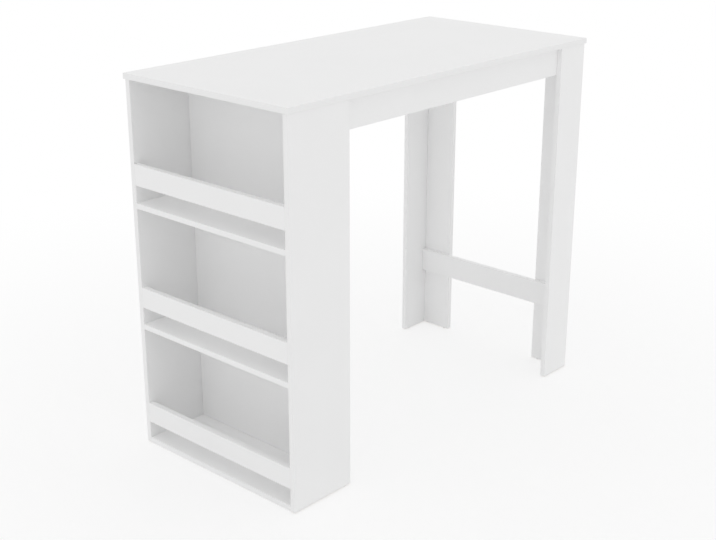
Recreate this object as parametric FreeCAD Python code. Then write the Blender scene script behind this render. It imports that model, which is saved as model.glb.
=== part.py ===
import FreeCAD
import Part
import math
import os

from FreeCAD import Vector

# A bar table with an open shelf unit at one end and two L-shaped legs at the other. The origin is on the
# floor under the middle of the top, +Z is up, the shelf unit is at -X and the front is at -Y. The front and
# the rear mirror each other.

# Table, in millimetres
table_length = 1200.0
table_depth = 580.0
table_height = 1025.0
top_thickness = 15.0
top_overhang = 4.0
top_edge_radius = 1.0
board_thickness = 15.0
edge_chamfer = 0.5

# Shelf unit
side_width = 203.0
rail_height = 57.0
rail_gap = 47.0
tiers = ("lower", "middle", "upper")

# Legs, aprons and stretcher
leg_face_width = 113.0
leg_end_width = 102.0
apron_height = 77.0
stretcher_height = 72.0
stretcher_rise = 193.0

# Wooden dowels, with the room that their holes leave round and past them
dowel_diameter = 8.0
dowel_length = 30.0
dowel_face_depth = 10.0
dowel_play = 0.1
hole_end_play = 0.5

# Cam fittings: a bolt screwed into the face of one board, drawn in by a disc set in the edge of another
cam_diameter = 15.0
cam_play = 0.2
cam_floor = 3.0
cam_recess = 0.3
cam_cavity_play = 0.8
cam_eccentricity = 0.8
cam_turn = 130.0
hook_sweep = 180.0
bolt_reach = 24.0
bolt_bore_diameter = 8.0
bolt_thread_diameter = 6.0
bolt_thread_length = 10.0
bolt_shank_diameter = 7.0
bolt_neck_diameter = 4.0
bolt_head_diameter = 6.5
bolt_head_length = 3.0
bolt_play = 0.6
thread_play = 0.1

# Countersunk screws with a cross recess
screw_diameter = 4.0
screw_head_diameter = 8.0
screw_head_recess = 0.3
screw_tip_length = 4.0
screw_cover = 5.0
screw_hole_play = 0.5
cross_width = 1.4
cross_span = 4.0
cross_depth = 1.5

# Nail-in glides under the upright boards
glide_diameter = 13.0
glide_height = 3.0
glide_chamfer = 1.0
glide_setback = 20.0
nail_diameter = 2.4
nail_length = 14.0

# Where the fittings lie along the boards that they join
shelf_cam_share = 0.3
shelf_dowel_share = 0.75
rail_dowel_shares = (0.25, 0.75)
back_dowel_shares = (0.2, 0.8)
side_dowel_shares = (0.25, 0.75)
apron_dowel_shares = (0.25, 0.75)
apron_cam_shares = (0.12, 0.75)
apron_screw_shares = (0.3, 0.7)
leg_dowel_shares = (0.12, 0.5, 0.86)
leg_top_share = 0.5
stretcher_dowel_shares = (0.25, 0.75)

# Every cutting tool starts this far outside the board that it cuts
overrun = 1.0

# Planes and sizes that several pieces share
under_top = table_height - top_thickness
outer = table_depth / 2 - top_overhang
inner = outer - board_thickness
shelf_end = top_overhang - table_length / 2
leg_end = table_length / 2 - top_overhang
unit_back = shelf_end + side_width
upright_height = under_top - glide_height
tier_pitch = upright_height / len(tiers)
shelf_depth = side_width - board_thickness
cam_cavity_radius = bolt_head_diameter / 2 + cam_eccentricity + cam_cavity_play

X = Vector(1, 0, 0)
Y = Vector(0, 1, 0)
Z = Vector(0, 0, 1)
sides = ((-1, "front"), (1, "rear"))
full_turn = 360.0

boards = {}
holes = {}
fittings = {}


def add_board(name, x_span, y_span, z_span):
    """A board between three pairs of planes, with its edges lightly chamfered."""
    low = Vector(min(x_span), min(y_span), min(z_span))
    high = Vector(max(x_span), max(y_span), max(z_span))
    size = high - low
    solid = Part.makeBox(size.x, size.y, size.z, low)
    boards[name] = solid.makeChamfer(edge_chamfer, solid.Edges)
    holes[name] = []


def bore(name, point, direction, diameter, depth):
    """A round blind hole that goes into a board from a point on its surface."""
    start = point - direction * overrun
    holes[name].append(Part.makeCylinder(diameter / 2, depth + overrun, start, direction))


def turned(profile):
    """A solid turned about the X axis from points of its upper half."""
    points = [Vector(x, r, 0) for x, r in profile]
    outline = Part.makePolygon(points + points[:1])
    return Part.Face(outline).revolve(Vector(), X, full_turn)


def cross_recess(point, inward):
    """The two arms of a cross-shaped driver recess, cut inward from a point on a fitting's face."""
    arms = []
    for width, height in ((cross_span, cross_width), (cross_width, cross_span)):
        corner = Vector(-overrun, -width / 2, -height / 2)
        arm = Part.makeBox(cross_depth + overrun, width, height, corner)
        arm.Placement = FreeCAD.Placement(point, FreeCAD.Rotation(X, inward)) * arm.Placement
        arms.append(arm)
    return arms


def make_cam_disc():
    """A cam whose round cavity is off centre, so that its hook draws the bolt's head in as it turns."""
    radius = (cam_diameter - cam_play) / 2
    face = board_thickness / 2 - cam_recess
    base = cam_floor - board_thickness / 2 + hole_end_play
    disc = Part.makeCylinder(radius, face - base, Z * base)
    to_mouth = FreeCAD.Rotation(Z, cam_turn)
    head_room = bolt_head_diameter + bolt_play
    neck_room = bolt_neck_diameter + bolt_play
    aside = to_mouth.multVec(X) * cam_eccentricity
    cavity = Part.makeCylinder(cam_cavity_radius, head_room, aside - Z * head_room / 2)
    slot = Part.makeCylinder(radius + overrun, neck_room, Z * -neck_room / 2, Z, hook_sweep)
    slot.Placement = FreeCAD.Placement(Vector(), FreeCAD.Rotation(Z, cam_turn - hook_sweep)) * slot.Placement
    mouth_corner = Vector(0, -head_room / 2, -head_room / 2)
    mouth = Part.makeBox(radius + overrun, head_room, head_room, mouth_corner)
    mouth.Placement = FreeCAD.Placement(Vector(), to_mouth) * mouth.Placement
    return disc.cut([cavity, slot, mouth] + cross_recess(Z * face, -Z)).Solids[0]


def make_cam_bolt():
    """A bolt whose thread points along +X from the joint, with its head held by the cam's hook."""
    turn = math.radians(cam_turn)
    rim = bolt_head_diameter / 2 + cam_eccentricity * math.sin(turn)
    hook = cam_eccentricity * math.cos(turn) + math.sqrt(cam_cavity_radius ** 2 - rim ** 2)
    head_start = hook - thread_play - bolt_reach
    head_end = head_start - bolt_head_length
    shank_end = (cam_diameter + bolt_play) / 2 - bolt_reach
    thread = (bolt_thread_diameter - thread_play) / 2
    return turned([
        (bolt_thread_length, 0),
        (bolt_thread_length, thread),
        (0, thread),
        (0, bolt_shank_diameter / 2),
        (shank_end, bolt_shank_diameter / 2),
        (shank_end, bolt_neck_diameter / 2),
        (head_start, bolt_neck_diameter / 2),
        (head_start, bolt_head_diameter / 2),
        (head_end, bolt_head_diameter / 2),
        (head_end, 0),
    ])


def make_screw():
    """A countersunk screw that points along +X from the face of the first board."""
    length = 2 * board_thickness - screw_cover
    shank = (screw_diameter - thread_play) / 2
    head = screw_head_diameter / 2
    solid = turned([
        (screw_head_recess, 0),
        (screw_head_recess, head),
        (screw_head_recess + head - shank, shank),
        (length - screw_tip_length, shank),
        (length, 0),
    ])
    return solid.cut(cross_recess(X * screw_head_recess, X)).Solids[0]


def make_glide():
    """A glide along +X from the floor, with the nail that holds it in the board above."""
    foot = glide_diameter / 2
    nail = (nail_diameter - thread_play) / 2
    return turned([
        (0, 0),
        (0, foot - glide_chamfer),
        (glide_chamfer, foot),
        (glide_height, foot),
        (glide_height, nail),
        (glide_height + nail_length, nail),
        (glide_height + nail_length, 0),
    ])


cam_disc = make_cam_disc()
cam_bolt = make_cam_bolt()
screw = make_screw()
glide = make_glide()


def place(node, pattern, point, along, face=Vector()):
    """A copy of a fitting with its X axis along one direction and its Z axis along another."""
    copy = pattern.copy()
    turn = FreeCAD.Rotation(along, Vector(), face, "XZY") if face.Length else FreeCAD.Rotation(X, along)
    copy.Placement = FreeCAD.Placement(point, turn)
    fittings.setdefault(node, []).append(copy)


def join_by_dowel(node, edge_board, face_board, point, direction):
    """A dowel across a joint, from the edge of one board into the face of another."""
    edge_depth = dowel_length - dowel_face_depth
    bore(edge_board, point, -direction, dowel_diameter, edge_depth + hole_end_play)
    bore(face_board, point, direction, dowel_diameter, dowel_face_depth + hole_end_play)
    start = point - direction * edge_depth
    dowel = Part.makeCylinder((dowel_diameter - dowel_play) / 2, dowel_length, start, direction)
    fittings.setdefault(node, []).append(dowel)


def join_by_cam(kind, edge_board, face_board, point, direction, cam_side):
    """A cam fitting across a joint, with its disc let into one side of the first board."""
    centre = point - direction * bolt_reach
    bore(edge_board, point, -direction, bolt_bore_diameter, bolt_reach)
    cam_mouth = centre + cam_side * board_thickness / 2
    bore(edge_board, cam_mouth, -cam_side, cam_diameter, board_thickness - cam_floor)
    bore(face_board, point, direction, bolt_thread_diameter, bolt_thread_length + hole_end_play)
    place(kind + "_cam_discs", cam_disc, centre, direction, cam_side)
    place(kind + "_cam_bolts", cam_bolt, point, direction)


def join_by_screw(node, first_board, second_board, point, direction):
    """A screw through one board into the next, with its head just below the first board's face."""
    clearance = screw_diameter + screw_hole_play
    sink = screw_head_diameter + screw_hole_play
    bore(first_board, point, direction, clearance, board_thickness + overrun)
    bore(first_board, point, direction, sink, screw_head_recess)
    cone_start = point + direction * screw_head_recess
    cone = Part.makeCone(sink / 2, clearance / 2, (sink - clearance) / 2, cone_start, direction)
    holes[first_board].append(cone)
    length = board_thickness - screw_cover + hole_end_play
    bore(second_board, point + direction * board_thickness, direction, screw_diameter, length)
    place(node, screw, point, direction)


def stand_on_glide(name, x, y):
    """A glide nailed into the lower edge of an upright board."""
    bore(name, Vector(x, y, glide_height), Z, nail_diameter, nail_length + hole_end_play)
    place("floor_glides", glide, Vector(x, y, 0), Z)


def build_top():
    solid = Part.makeBox(
        table_length, table_depth, top_thickness, Vector(-table_length / 2, -table_depth / 2, under_top)
    )
    boards["table_top"] = solid.makeFillet(top_edge_radius, solid.Edges)
    holes["table_top"] = []


def build_shelf_unit():
    upright = (glide_height, under_top)
    between_sides = (-inner, inner)
    shelf_span = (shelf_end, shelf_end + shelf_depth)
    rail_span = (shelf_end, shelf_end + board_thickness)
    rail_middle = shelf_end + board_thickness / 2
    back_middle = unit_back - board_thickness / 2
    add_board("front_side_panel", (shelf_end, unit_back), (-outer, -inner), upright)
    add_board("rear_side_panel", (shelf_end, unit_back), (inner, outer), upright)
    add_board("unit_back_panel", (unit_back - board_thickness, unit_back), between_sides, upright)
    for number, tier in enumerate(tiers):
        shelf_base = glide_height + number * tier_pitch
        shelf_top = shelf_base + board_thickness
        rail_base = shelf_top + rail_gap
        add_board(tier + "_shelf", shelf_span, between_sides, (shelf_base, shelf_top))
        add_board(tier + "_rail", rail_span, between_sides, (rail_base, rail_base + rail_height))
        for side, name in sides:
            panel = name + "_side_panel"
            outward = Y * side
            shelf_middle = shelf_base + board_thickness / 2
            cam_point = Vector(shelf_end + shelf_depth * shelf_cam_share, side * inner, shelf_middle)
            join_by_cam("shelf", tier + "_shelf", panel, cam_point, outward, -Z)
            dowel_point = Vector(shelf_end + shelf_depth * shelf_dowel_share, side * inner, shelf_middle)
            join_by_dowel("shelf_dowels", tier + "_shelf", panel, dowel_point, outward)
            for share in rail_dowel_shares:
                rail_point = Vector(rail_middle, side * inner, rail_base + rail_height * share)
                join_by_dowel("rail_dowels", tier + "_rail", panel, rail_point, outward)
    for side, name in sides:
        panel = name + "_side_panel"
        for share in back_dowel_shares:
            point = Vector(back_middle, side * inner, glide_height + upright_height * share)
            join_by_dowel("back_panel_dowels", "unit_back_panel", panel, point, Y * side)
        for share in side_dowel_shares:
            point = Vector(shelf_end + side_width * share, side * (inner + outer) / 2, under_top)
            join_by_dowel("top_dowels", panel, "table_top", point, Z)
        for x in (shelf_end + glide_setback, unit_back - glide_setback):
            stand_on_glide(panel, x, side * (inner + outer) / 2)


def build_leg(side, name):
    """Two boards that meet in an L, the one on the table's end behind the one on its long side."""
    upright = (glide_height, under_top)
    face_board = name + "_leg_face_board"
    end_board = name + "_leg_end_board"
    end_edge = inner - leg_end_width
    middle = (inner + outer) / 2
    add_board(face_board, (leg_end - leg_face_width, leg_end), (side * inner, side * outer), upright)
    add_board(end_board, (leg_end - board_thickness, leg_end), (side * end_edge, side * inner), upright)
    for share in leg_dowel_shares:
        point = Vector(leg_end - board_thickness / 2, side * inner, glide_height + upright_height * share)
        join_by_dowel("leg_dowels", end_board, face_board, point, Y * side)
    top_point = Vector(leg_end - leg_face_width * leg_top_share, side * middle, under_top)
    join_by_dowel("top_dowels", face_board, "table_top", top_point, Z)
    stand_on_glide(face_board, leg_end - leg_face_width + glide_setback, side * middle)
    stand_on_glide(end_board, leg_end - board_thickness / 2, side * (end_edge + glide_setback))


def build_apron(side, name):
    """A board behind the leg's face, from the shelf unit's back to the leg's end board."""
    apron = name + "_apron"
    start = unit_back
    end = leg_end - board_thickness
    base = under_top - apron_height
    near = inner - board_thickness
    add_board(apron, (start, end), (side * near, side * inner), (base, under_top))
    middle = side * (near + inner) / 2
    for share in apron_dowel_shares:
        point = Vector(start, middle, base + apron_height * share)
        join_by_dowel("apron_dowels", apron, "unit_back_panel", point, -X)
    for share in apron_cam_shares:
        point = Vector(start + (end - start) * share, middle, under_top)
        join_by_cam("top", apron, "table_top", point, Z, Y * -side)
    for share in apron_screw_shares:
        x = end - (leg_face_width - board_thickness) * share
        point = Vector(x, side * near, base + apron_height / 2)
        join_by_screw("apron_screws", apron, name + "_leg_face_board", point, Y * side)


def build_stretcher():
    """A low board between the faces of the two legs, against the inside of their end boards."""
    far = leg_end - board_thickness
    near = far - board_thickness
    stretcher_top = stretcher_rise + stretcher_height
    add_board("foot_stretcher", (near, far), (-inner, inner), (stretcher_rise, stretcher_top))
    for side, name in sides:
        for share in stretcher_dowel_shares:
            point = Vector((near + far) / 2, side * inner, stretcher_rise + stretcher_height * share)
            join_by_dowel("stretcher_dowels", "foot_stretcher", name + "_leg_face_board", point, Y * side)


def export():
    os.makedirs("parts", exist_ok=True)
    for name, solid in boards.items():
        drilled = solid.cut(holes[name]) if holes[name] else solid
        drilled.Solids[0].exportStep(f"parts/{name}.step")
    for name, solids in fittings.items():
        Part.makeCompound(solids).exportStep(f"parts/{name}.step")


build_top()
build_shelf_unit()
for table_side, side_name in sides:
    build_leg(table_side, side_name)
    build_apron(table_side, side_name)
build_stretcher()
export()
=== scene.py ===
"""Finishes, stage, light and camera for a white bar table with an open shelf unit at one end."""
import math

import bmesh
import bpy
from mathutils import Matrix, Vector


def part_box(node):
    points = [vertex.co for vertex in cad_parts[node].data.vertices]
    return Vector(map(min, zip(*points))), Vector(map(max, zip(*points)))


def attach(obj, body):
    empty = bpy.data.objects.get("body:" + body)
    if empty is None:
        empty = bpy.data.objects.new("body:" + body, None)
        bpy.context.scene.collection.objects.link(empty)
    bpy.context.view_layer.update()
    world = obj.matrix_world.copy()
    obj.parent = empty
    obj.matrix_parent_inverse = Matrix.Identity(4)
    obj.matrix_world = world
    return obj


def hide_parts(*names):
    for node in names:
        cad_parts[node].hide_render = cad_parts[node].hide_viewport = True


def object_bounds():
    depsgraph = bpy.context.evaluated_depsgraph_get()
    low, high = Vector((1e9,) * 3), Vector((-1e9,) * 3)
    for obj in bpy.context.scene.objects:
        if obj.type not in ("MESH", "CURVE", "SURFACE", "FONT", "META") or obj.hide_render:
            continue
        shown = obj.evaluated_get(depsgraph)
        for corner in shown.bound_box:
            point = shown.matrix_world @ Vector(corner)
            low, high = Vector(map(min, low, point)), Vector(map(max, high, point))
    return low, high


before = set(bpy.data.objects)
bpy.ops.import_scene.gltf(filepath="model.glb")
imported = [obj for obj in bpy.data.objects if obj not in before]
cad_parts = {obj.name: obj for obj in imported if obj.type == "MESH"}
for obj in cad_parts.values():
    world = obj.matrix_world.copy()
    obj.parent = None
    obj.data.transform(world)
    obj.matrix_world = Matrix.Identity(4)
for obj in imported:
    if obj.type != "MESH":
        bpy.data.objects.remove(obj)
cad_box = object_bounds()

# Camera: place in metres, angles in degrees, sensor in millimetres, and focal length in the picture's pixels
IMAGE_WIDTH = 716
FOCAL_PIXELS = 1271.5
SENSOR_WIDTH = 36.0
CAMERA_PLACE = Vector((-2.521, -2.250, 1.655))
CAMERA_YAW = 47.68
CAMERA_PITCH = -20.20

# White board: its white, and how its film, edge bands and chipboard core look. Sizes are in metres.
BOARD_WHITE = 0.90
BOARD_TONES = (0.994, 1.006)
TONE_STEP = 0.618
BOARD_ROUGHNESS = (0.40, 0.50)
GLOSS_PATCH = 0.02
CLOUD_SIZE = 0.12
CLOUD_TONES = (0.992, 1.008)
SPECK_SIZE = 0.0044
SPECK_TONES = (0.996, 1.004)
PEARL_SIZE = 0.0011
BAND_THICKNESS = 0.0008
BAND_SHADE = 0.985
BAND_STRETCH = 0.05
SEAM_WIDTH = 0.0003
SEAM_SHADE = 0.94
FACE_SHARE = 0.8
CORE_DARK = (0.26, 0.16, 0.085, 1)
CORE_LIGHT = (0.55, 0.40, 0.25, 1)
CORE_ROUGHNESS = 0.85
CHIP_SIZE = 0.0018
FLOOR_GAP = 0.005

# Fittings: two colours and a range of roughness for each finish, and sizes of grain, in metres
BEECH = ((0.40, 0.25, 0.13, 1), (0.60, 0.42, 0.25, 1))
BEECH_ROUGHNESS = (0.55, 0.75)
GRAIN_SIZE = 0.0008
GRAIN_SHARE = 0.6
RAY_SIZE = 0.0048
ZINC = ((0.38, 0.39, 0.40, 1), (0.58, 0.59, 0.60, 1))
ZINC_ROUGHNESS = (0.38, 0.55)
STEEL = ((0.60, 0.61, 0.63, 1), (0.78, 0.79, 0.80, 1))
STEEL_ROUGHNESS = (0.18, 0.30)
PLASTIC = ((0.74, 0.74, 0.73, 1), (0.82, 0.82, 0.81, 1))
PLASTIC_ROUGHNESS = (0.40, 0.55)
CAST_SIZE = 0.0006
STAIN_SIZE = 0.0072
STAIN_RANGE = (0.3, 0.7)
GRAIN_DEPTH = 0.00003
NOISE_DETAIL = 3.0

# Forms of the fasteners, in metres and degrees. A thread's pitch and depth are shares of its diameter.
FLUTES = 16
FLUTE_POINTS = 4
FLUTE_DEPTH = 0.0003
DOWEL_CHAMFER = 0.0008
THREAD_PITCH_SHARE = 0.45
THREAD_DEPTH_SHARE = 0.13
THREAD_STEPS = 6
TIP_RADIUS = 0.0002
SHARP_ANGLE = 30.0
WELD = 0.00001

# Stage: the floor is seen as part shadow and part plain white, and all white from FADE_END on, in metres
WORLD_LEVEL = 0.775
FLOOR_WHITE = 0.97
FLOOR_TONES = 0.005
FLOOR_PATCH = 0.4
FLOOR_HALF_WIDTH = 12.0
FLOOR_DROP = 0.0003
NEAR_SHARE = 0.6
FADE_START = 0.5
FADE_END = 2.4
WHITE = (1, 1, 1, 1)

# Lamps, wide and far off: azimuth, elevation and width in degrees, strength, and whether they cast shadows.
# Azimuth 0 shines along +Y.
LAMPS = {
    "front": (0.0, 5.0, 50.0, 0.23, True),
    "left": (-90.0, 15.0, 50.0, 0.19, False),
    "overhead": (-47.0, 80.0, 60.0, 0.31, False),
}


class Shader:
    """The nodes of a material or the world in the making. Most methods add nodes and hand back an output."""

    def __init__(self, owner):
        owner.use_nodes = True
        self.owner = owner
        self.tree = owner.node_tree
        self.tree.nodes.clear()

    def add(self, kind, inputs=None, **settings):
        node = self.tree.nodes.new("ShaderNode" + kind)
        for name, value in settings.items():
            setattr(node, name, value)
        for socket, value in (inputs or {}).items():
            if isinstance(value, bpy.types.NodeSocket):
                self.tree.links.new(value, node.inputs[socket])
            else:
                node.inputs[socket].default_value = value
        return node

    def place(self):
        """The point on the surface, in metres, in the table's own frame."""
        return self.add("TexCoord").outputs["Object"]

    def facing(self):
        """The direction that the surface faces, in the table's own frame."""
        return self.add("TexCoord").outputs["Normal"]

    def split(self, vector):
        return self.add("SeparateXYZ", {0: vector}).outputs

    def math(self, operation, first, second=0.0):
        return self.add("Math", {0: first, 1: second}, operation=operation).outputs[0]

    def product(self, *values):
        result = values[0]
        for value in values[1:]:
            result = self.math("MULTIPLY", result, value)
        return result

    def spread(self, value, low, high, start=0.0, end=1.0):
        """A value that runs from start to end, spread smoothly from low to high and held outside."""
        inputs = {"Value": value, "From Min": start, "From Max": end, "To Min": low, "To Max": high}
        return self.add("MapRange", inputs, interpolation_type="SMOOTHSTEP").outputs["Result"]

    def stretch(self, vector, scales):
        return self.add("VectorMath", {0: vector, 1: scales}, operation="MULTIPLY").outputs[0]

    def noise(self, vector, size):
        inputs = {"Vector": vector, "Scale": 1 / size, "Detail": NOISE_DETAIL}
        return self.add("TexNoise", inputs).outputs["Fac"]

    def mix(self, share, first, second):
        """Two colours mixed by a share. The Mix node takes colours at sockets 6 and 7, and gives one at 2."""
        return self.add("Mix", {0: share, 6: first, 7: second}, data_type="RGBA").outputs[2]

    def blend(self, share, first, second):
        """Two numbers mixed by a share. The Mix node takes numbers at sockets 2 and 3, and gives one at 0."""
        return self.add("Mix", {0: share, 2: first, 3: second}).outputs[0]

    def join(self, share, first, second):
        """Two surfaces, or two backgrounds, mixed by a share."""
        return self.add("MixShader", {0: share, 1: first, 2: second}).outputs[0]

    def bump(self, height):
        return self.add("Bump", {"Height": height, "Distance": GRAIN_DEPTH}).outputs["Normal"]

    def surface(self, **inputs):
        named = {name.replace("_", " "): value for name, value in inputs.items()}
        return self.add("BsdfPrincipled", named).outputs[0]

    def finish(self, surface):
        kind = "OutputWorld" if isinstance(self.owner, bpy.types.World) else "OutputMaterial"
        self.add(kind, {"Surface": surface})
        return self.owner


def new_material(name):
    return Shader(bpy.data.materials.new(name))


def board_finish(name, tone):
    """Melamine film with a fine pearl texture, edge bands with their seams, and bare chipboard underfoot."""
    low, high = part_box(name)
    size = high - low
    slim = min(range(3), key=lambda axis: size[axis])
    wide = [axis for axis in range(3) if axis != slim]
    shader = new_material(name + "_finish")
    place = shader.place()
    point = shader.split(place)
    normal = shader.split(shader.facing())

    # 1 on the two wide faces of the board, 0 on its narrow ones
    on_face = shader.math("GREATER_THAN", shader.math("ABSOLUTE", normal[slim]), FACE_SHARE)

    # How far the point is from the nearest narrow face
    margins = []
    for axis in wide:
        margins.append(shader.math("SUBTRACT", point[axis], low[axis]))
        margins.append(shader.math("SUBTRACT", high[axis], point[axis]))
    margin = margins[0]
    for other in margins[1:]:
        margin = shader.math("MINIMUM", margin, other)

    # The band's end shows as a rim round each wide face, with a hairline of glue beside it
    on_rim = shader.math("LESS_THAN", margin, BAND_THICKNESS)
    on_film = shader.math("SUBTRACT", on_face, shader.product(on_face, on_rim))
    off_seam = shader.math("ABSOLUTE", shader.math("SUBTRACT", margin, BAND_THICKNESS))
    seam = shader.spread(off_seam, SEAM_SHADE, 1.0, 0.0, SEAM_WIDTH)
    seam = shader.math("MAXIMUM", seam, shader.math("SUBTRACT", 1.0, on_face))

    # Tones: this board's own white, faint clouds in the film and a band that is a trace greyer
    clouds = shader.spread(shader.noise(place, CLOUD_SIZE), *CLOUD_TONES)
    specks = shader.spread(shader.noise(place, SPECK_SIZE), *SPECK_TONES)
    band = shader.spread(on_film, BAND_SHADE, 1.0)
    white = shader.product(clouds, specks, band, seam, BOARD_WHITE * tone)

    # Chipboard shows only on the lower end of a board that stands on the floor
    colour = white
    roughness = shader.spread(shader.noise(place, GLOSS_PATCH), *BOARD_ROUGHNESS)
    lies_flat = size.z == min(size)
    if not lies_flat and low.z < cad_box[0].z + FLOOR_GAP:
        core = shader.math("LESS_THAN", normal["Z"], -FACE_SHARE)
        chips = shader.add("TexVoronoi", {"Vector": place, "Scale": 1 / CHIP_SIZE})
        chip = shader.split(chips.outputs["Color"])["X"]
        colour = shader.mix(core, white, shader.mix(chip, CORE_DARK, CORE_LIGHT))
        roughness = shader.math("MAXIMUM", roughness, shader.product(core, CORE_ROUGHNESS))

    # The film is pearled, and the bands are drawn out along their length
    pearl = shader.noise(place, PEARL_SIZE)
    drawn = [1.0, 1.0, 1.0]
    drawn[max(range(3), key=lambda axis: size[axis])] = BAND_STRETCH
    strands = shader.noise(shader.stretch(place, drawn), PEARL_SIZE)
    height = shader.blend(on_film, strands, pearl)
    surface = shader.surface(
        Base_Color=colour,
        Roughness=roughness,
        Normal=shader.bump(height),
    )
    return shader.finish(surface)


def beech_finish():
    """Bare beech, with fine grain and the larger flecks that beech has."""
    shader = new_material("beech_finish")
    place = shader.place()
    grain = shader.noise(place, GRAIN_SIZE)
    rays = shader.noise(place, RAY_SIZE)
    tone = shader.math("ADD", shader.product(grain, GRAIN_SHARE), shader.product(rays, 1 - GRAIN_SHARE))
    surface = shader.surface(
        Base_Color=shader.mix(tone, *BEECH),
        Roughness=shader.spread(grain, *BEECH_ROUGHNESS),
        Normal=shader.bump(grain),
    )
    return shader.finish(surface)


def metal_finish(name, colours, roughness):
    """A metal whose tone varies in wide patches, and its gloss with its fine grain."""
    shader = new_material(name)
    place = shader.place()
    grain = shader.noise(place, CAST_SIZE)
    stains = shader.noise(place, STAIN_SIZE)
    surface = shader.surface(
        Base_Color=shader.mix(shader.spread(stains, 0.0, 1.0, *STAIN_RANGE), *colours),
        Metallic=1.0,
        Roughness=shader.spread(grain, *roughness),
        Normal=shader.bump(grain),
    )
    return shader.finish(surface)


def glide_finish():
    """A moulded white foot, with the steel of its nail above it."""
    foot_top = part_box("front_side_panel")[0].z
    shader = new_material("glide_finish")
    place = shader.place()
    above = shader.math("GREATER_THAN", shader.split(place)["Z"], foot_top + WELD)
    grain = shader.noise(place, CAST_SIZE)
    plastic = shader.mix(grain, *PLASTIC)
    steel = shader.mix(grain, *STEEL)
    surface = shader.surface(
        Base_Color=shader.mix(above, plastic, steel),
        Metallic=above,
        Roughness=shader.spread(grain, *PLASTIC_ROUGHNESS),
        Normal=shader.bump(grain),
    )
    return shader.finish(surface)


def solids_in(work):
    """The vertices of each separate solid in a mesh. A solid's list grows while its neighbours are found."""
    solids = []
    seen = set()
    for first in work.verts:
        if first in seen:
            continue
        seen.add(first)
        solid = [first]
        for vert in solid:
            for edge in vert.link_edges:
                other = edge.other_vert(vert)
                if other not in seen:
                    seen.add(other)
                    solid.append(other)
        solids.append(solid)
    return solids


def place_of(solid):
    """A turned solid's place, with X along it from the middle of its thicker end, and its length."""
    points = [vert.co for vert in solid]
    spans = [(min(point[k] for point in points), max(point[k] for point in points)) for k in range(3)]
    along = max(range(3), key=lambda k: spans[k][1] - spans[k][0])
    ends = []
    for level in spans[along]:
        rim = [point for point in points if abs(point[along] - level) < WELD]
        centre = sum(rim, Vector()) / len(rim)
        reach = max((point - centre).length for point in rim)
        ends.append((reach, centre))
    tip, head = (centre for reach, centre in sorted(ends, key=lambda end: end[0]))
    turn = Vector((1, 0, 0)).rotation_difference(tip - head)
    return Matrix.LocRotScale(head, turn, None), (tip - head).length


def add_ring(work, place, along, radii, angles):
    """New vertices round the X axis of a place, at a distance along it."""
    ring = []
    for radius, angle in zip(radii, angles):
        point = Vector((along, radius * math.cos(angle), radius * math.sin(angle)))
        ring.append(work.verts.new(place @ point))
    return ring


def join_rings(work, rings):
    """Faces between each ring of vertices and the next."""
    for first, second in zip(rings, rings[1:]):
        for k in range(len(first)):
            work.faces.new((first[k - 1], first[k], second[k], second[k - 1]))


def cut_flutes(work, dowel):
    """Swaps a plain dowel for one with flutes for the glue and chamfered ends."""
    place, length = place_of(dowel)
    outside = max((place.inverted() @ vert.co).yz.length for vert in dowel)
    bmesh.ops.delete(work, geom=dowel, context="VERTS")
    count = FLUTES * FLUTE_POINTS
    angles = [math.tau * k / count for k in range(count)]
    fluted = [outside - FLUTE_DEPTH * (1 - math.cos(FLUTES * angle)) / 2 for angle in angles]
    narrowed = [radius - DOWEL_CHAMFER for radius in fluted]
    rings = [
        add_ring(work, place, 0, narrowed, angles),
        add_ring(work, place, DOWEL_CHAMFER, fluted, angles),
        add_ring(work, place, length - DOWEL_CHAMFER, fluted, angles),
        add_ring(work, place, length, narrowed, angles),
    ]
    join_rings(work, rings)
    work.faces.new(rings[0])
    work.faces.new(rings[-1])


def cut_thread(work, fastener):
    """Swaps the plain thread at a fastener's thinner end for one with a helical groove."""
    place, length = place_of(fastener)
    to_local = place.inverted()
    local = {vert: to_local @ vert.co for vert in fastener}
    radius = {vert: point.yz.length for vert, point in local.items()}

    # The thread is the last stretch of even radius, and past it the tip, if there is one
    straight = []
    for vert in fastener:
        for other in (edge.other_vert(vert) for edge in vert.link_edges):
            if abs(radius[other] - radius[vert]) < WELD < local[vert].x - local[other].x:
                straight.append(vert)
    crest = radius[max(straight, key=lambda vert: local[vert].x)]
    thread = [vert for vert in fastener if abs(radius[vert] - crest) < WELD]
    start = min(local[vert].x for vert in thread)
    tip_start = max(local[vert].x for vert in thread)
    angle_of = {vert: math.atan2(local[vert].z, local[vert].y) for vert in thread}
    rim = sorted((vert for vert in thread if local[vert].x < start + WELD), key=angle_of.get)
    angles = [angle_of[vert] for vert in rim]

    faces = {face for vert in fastener for face in vert.link_faces}
    plain = [face for face in faces if (to_local @ face.calc_center_median()).x > start + WELD]
    bmesh.ops.delete(work, geom=plain, context="FACES")

    # The groove deepens over the first turn, and the tip's outline runs to a point
    pitch = 2 * crest * THREAD_PITCH_SHARE
    steps = round((length - start) / pitch * THREAD_STEPS)
    rings = [rim]
    for step in range(1, steps + 1):
        along = start + (length - start) * step / steps
        outline = crest
        if along > tip_start + WELD:
            outline = crest * (length - along) / (length - tip_start)
        depth = 2 * crest * THREAD_DEPTH_SHARE * min(1, (along - start) / pitch)
        radii = []
        for angle in angles:
            groove = abs(2 * ((along / pitch - angle / math.tau) % 1) - 1)
            radii.append(max(outline - depth * groove, TIP_RADIUS))
        rings.append(add_ring(work, place, along, radii, angles))
    join_rings(work, rings)
    work.faces.new(rings[-1])


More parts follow.
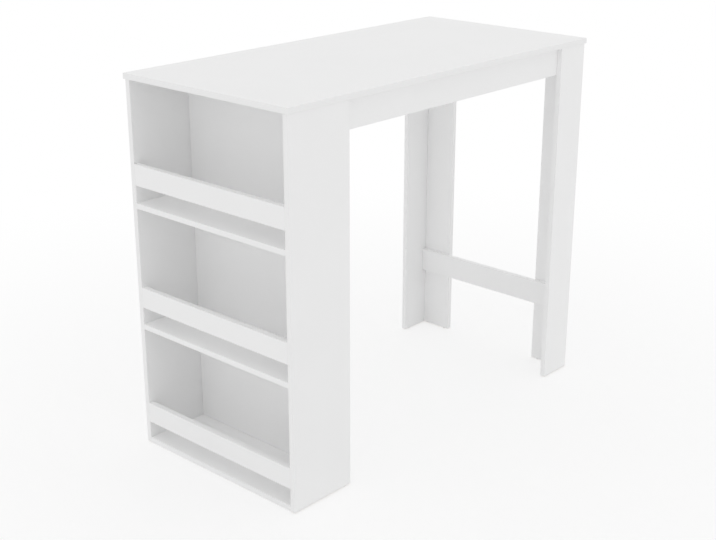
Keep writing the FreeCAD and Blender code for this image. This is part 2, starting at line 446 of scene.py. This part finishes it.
def show_detail(name, slot, finish, prefix, form):
    """A piece that stands for a node of fasteners, with the fine form that the node's solids leave plain."""
    work = bmesh.new()
    work.from_mesh(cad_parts[name].data)
    bmesh.ops.remove_doubles(work, verts=work.verts, dist=WELD)
    for solid in solids_in(work):
        form(work, solid)
    bmesh.ops.recalc_face_normals(work, faces=work.faces)
    work.verts.index_update()
    mesh = bpy.data.meshes.new(prefix + name)
    corners = [vert.co for vert in work.verts]
    mesh.from_pydata(corners, [], [[vert.index for vert in face.verts] for face in work.faces])
    work.free()
    mesh.shade_smooth()
    mesh.set_sharp_from_angle(angle=math.radians(SHARP_ANGLE))
    mesh.materials.append(finish)
    piece = bpy.data.objects.new(prefix + name, mesh)
    bpy.context.scene.collection.objects.link(piece)
    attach(piece, "root")
    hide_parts(name)


def dress_nodes():
    """Every node gets the finish of its material slot, and the fasteners their fine form."""
    finishes = {
        "beech_dowel": beech_finish(),
        "zinc_cam": metal_finish("zinc_finish", ZINC, ZINC_ROUGHNESS),
        "plated_steel": metal_finish("steel_finish", STEEL, STEEL_ROUGHNESS),
        "white_plastic": glide_finish(),
    }
    forms = {
        "beech_dowel": ("fluted_", cut_flutes),
        "plated_steel": ("threaded_", cut_thread),
    }
    slots = {name: node.data.materials[0].name for name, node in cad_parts.items()}
    boards = sorted(name for name, slot in slots.items() if slot == "white_board")
    for name, slot in slots.items():
        if slot == "white_board":
            low, high = BOARD_TONES
            share = boards.index(name) * TONE_STEP % 1
            finish = board_finish(name, low + (high - low) * share)
        else:
            finish = finishes[slot]
        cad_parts[name].data.materials[0] = finish
        if slot in forms:
            show_detail(name, slot, finish, *forms[slot])


def camera_rays(shader):
    """1 for rays that show the stage to the camera, to metal or through glass, 0 for light on the table."""
    path = shader.add("LightPath").outputs
    seen = shader.math("MAXIMUM", path["Is Camera Ray"], path["Is Glossy Ray"])
    return shader.math("MAXIMUM", seen, path["Is Transmission Ray"])


def make_floor():
    """A white floor with the table's shadow. It fades to plain white further off and is clear from below."""
    mesh = bpy.data.meshes.new("floor")
    edge = FLOOR_HALF_WIDTH
    corners = [(-edge, -edge), (edge, -edge), (edge, edge), (-edge, edge)]
    mesh.from_pydata([(x, y, -FLOOR_DROP) for x, y in corners], [], [(0, 1, 2, 3)])
    floor = bpy.data.objects.new("floor", mesh)
    bpy.context.scene.collection.objects.link(floor)
    shader = new_material("floor_finish")
    place = shader.place()
    reach = shader.add("VectorMath", {0: place}, operation="LENGTH").outputs["Value"]
    patches = shader.noise(place, FLOOR_PATCH)
    tone = shader.spread(patches, FLOOR_WHITE - FLOOR_TONES, FLOOR_WHITE + FLOOR_TONES)
    near = shader.add("BsdfDiffuse", {"Color": tone}).outputs[0]
    far = shader.add("Emission", {"Color": WHITE, "Strength": 1.0}).outputs[0]
    fade = shader.product(shader.spread(reach, NEAR_SHARE, 1.0, FADE_START, FADE_END), camera_rays(shader))
    lit = shader.join(fade, near, far)
    below = shader.add("NewGeometry").outputs["Backfacing"]
    clear = shader.add("BsdfTransparent").outputs[0]
    mesh.materials.append(shader.finish(shader.join(below, lit, clear)))


def make_world():
    """An even white surround: soft light from all round, and plain white where it is seen."""
    shader = Shader(bpy.data.worlds.new("studio"))
    light = shader.add("Background", {"Color": WHITE, "Strength": WORLD_LEVEL}).outputs[0]
    seen = shader.add("Background", {"Color": WHITE, "Strength": 1.0}).outputs[0]
    bpy.context.scene.world = shader.finish(shader.join(camera_rays(shader), light, seen))


def make_lamps():
    """Soft lamps, some without shadows to lift the hollows. None shows in gloss, so the top has no glare."""
    for name, (azimuth, elevation, width, strength, casts_shadow) in LAMPS.items():
        lamp = bpy.data.lights.new(name, "SUN")
        lamp.angle = math.radians(width)
        lamp.energy = strength
        lamp.use_shadow = casts_shadow
        holder = bpy.data.objects.new(name, lamp)
        holder.rotation_euler = (math.pi / 2 - math.radians(elevation), 0, math.radians(azimuth))
        holder.visible_glossy = False
        bpy.context.scene.collection.objects.link(holder)


def make_camera():
    """A camera that sees the table as the photograph does, but without its lens shift."""
    lens = bpy.data.cameras.new("camera")
    lens.sensor_width = SENSOR_WIDTH
    lens.lens = FOCAL_PIXELS * SENSOR_WIDTH / IMAGE_WIDTH
    camera = bpy.data.objects.new("camera", lens)
    camera.location = CAMERA_PLACE
    camera.rotation_euler = (math.pi / 2 + math.radians(CAMERA_PITCH), 0, math.radians(-CAMERA_YAW))
    bpy.context.scene.collection.objects.link(camera)
    bpy.context.scene.camera = camera


dress_nodes()
make_floor()
make_world()
make_lamps()
make_camera()
bpy.context.scene.view_settings.view_transform = "Standard"
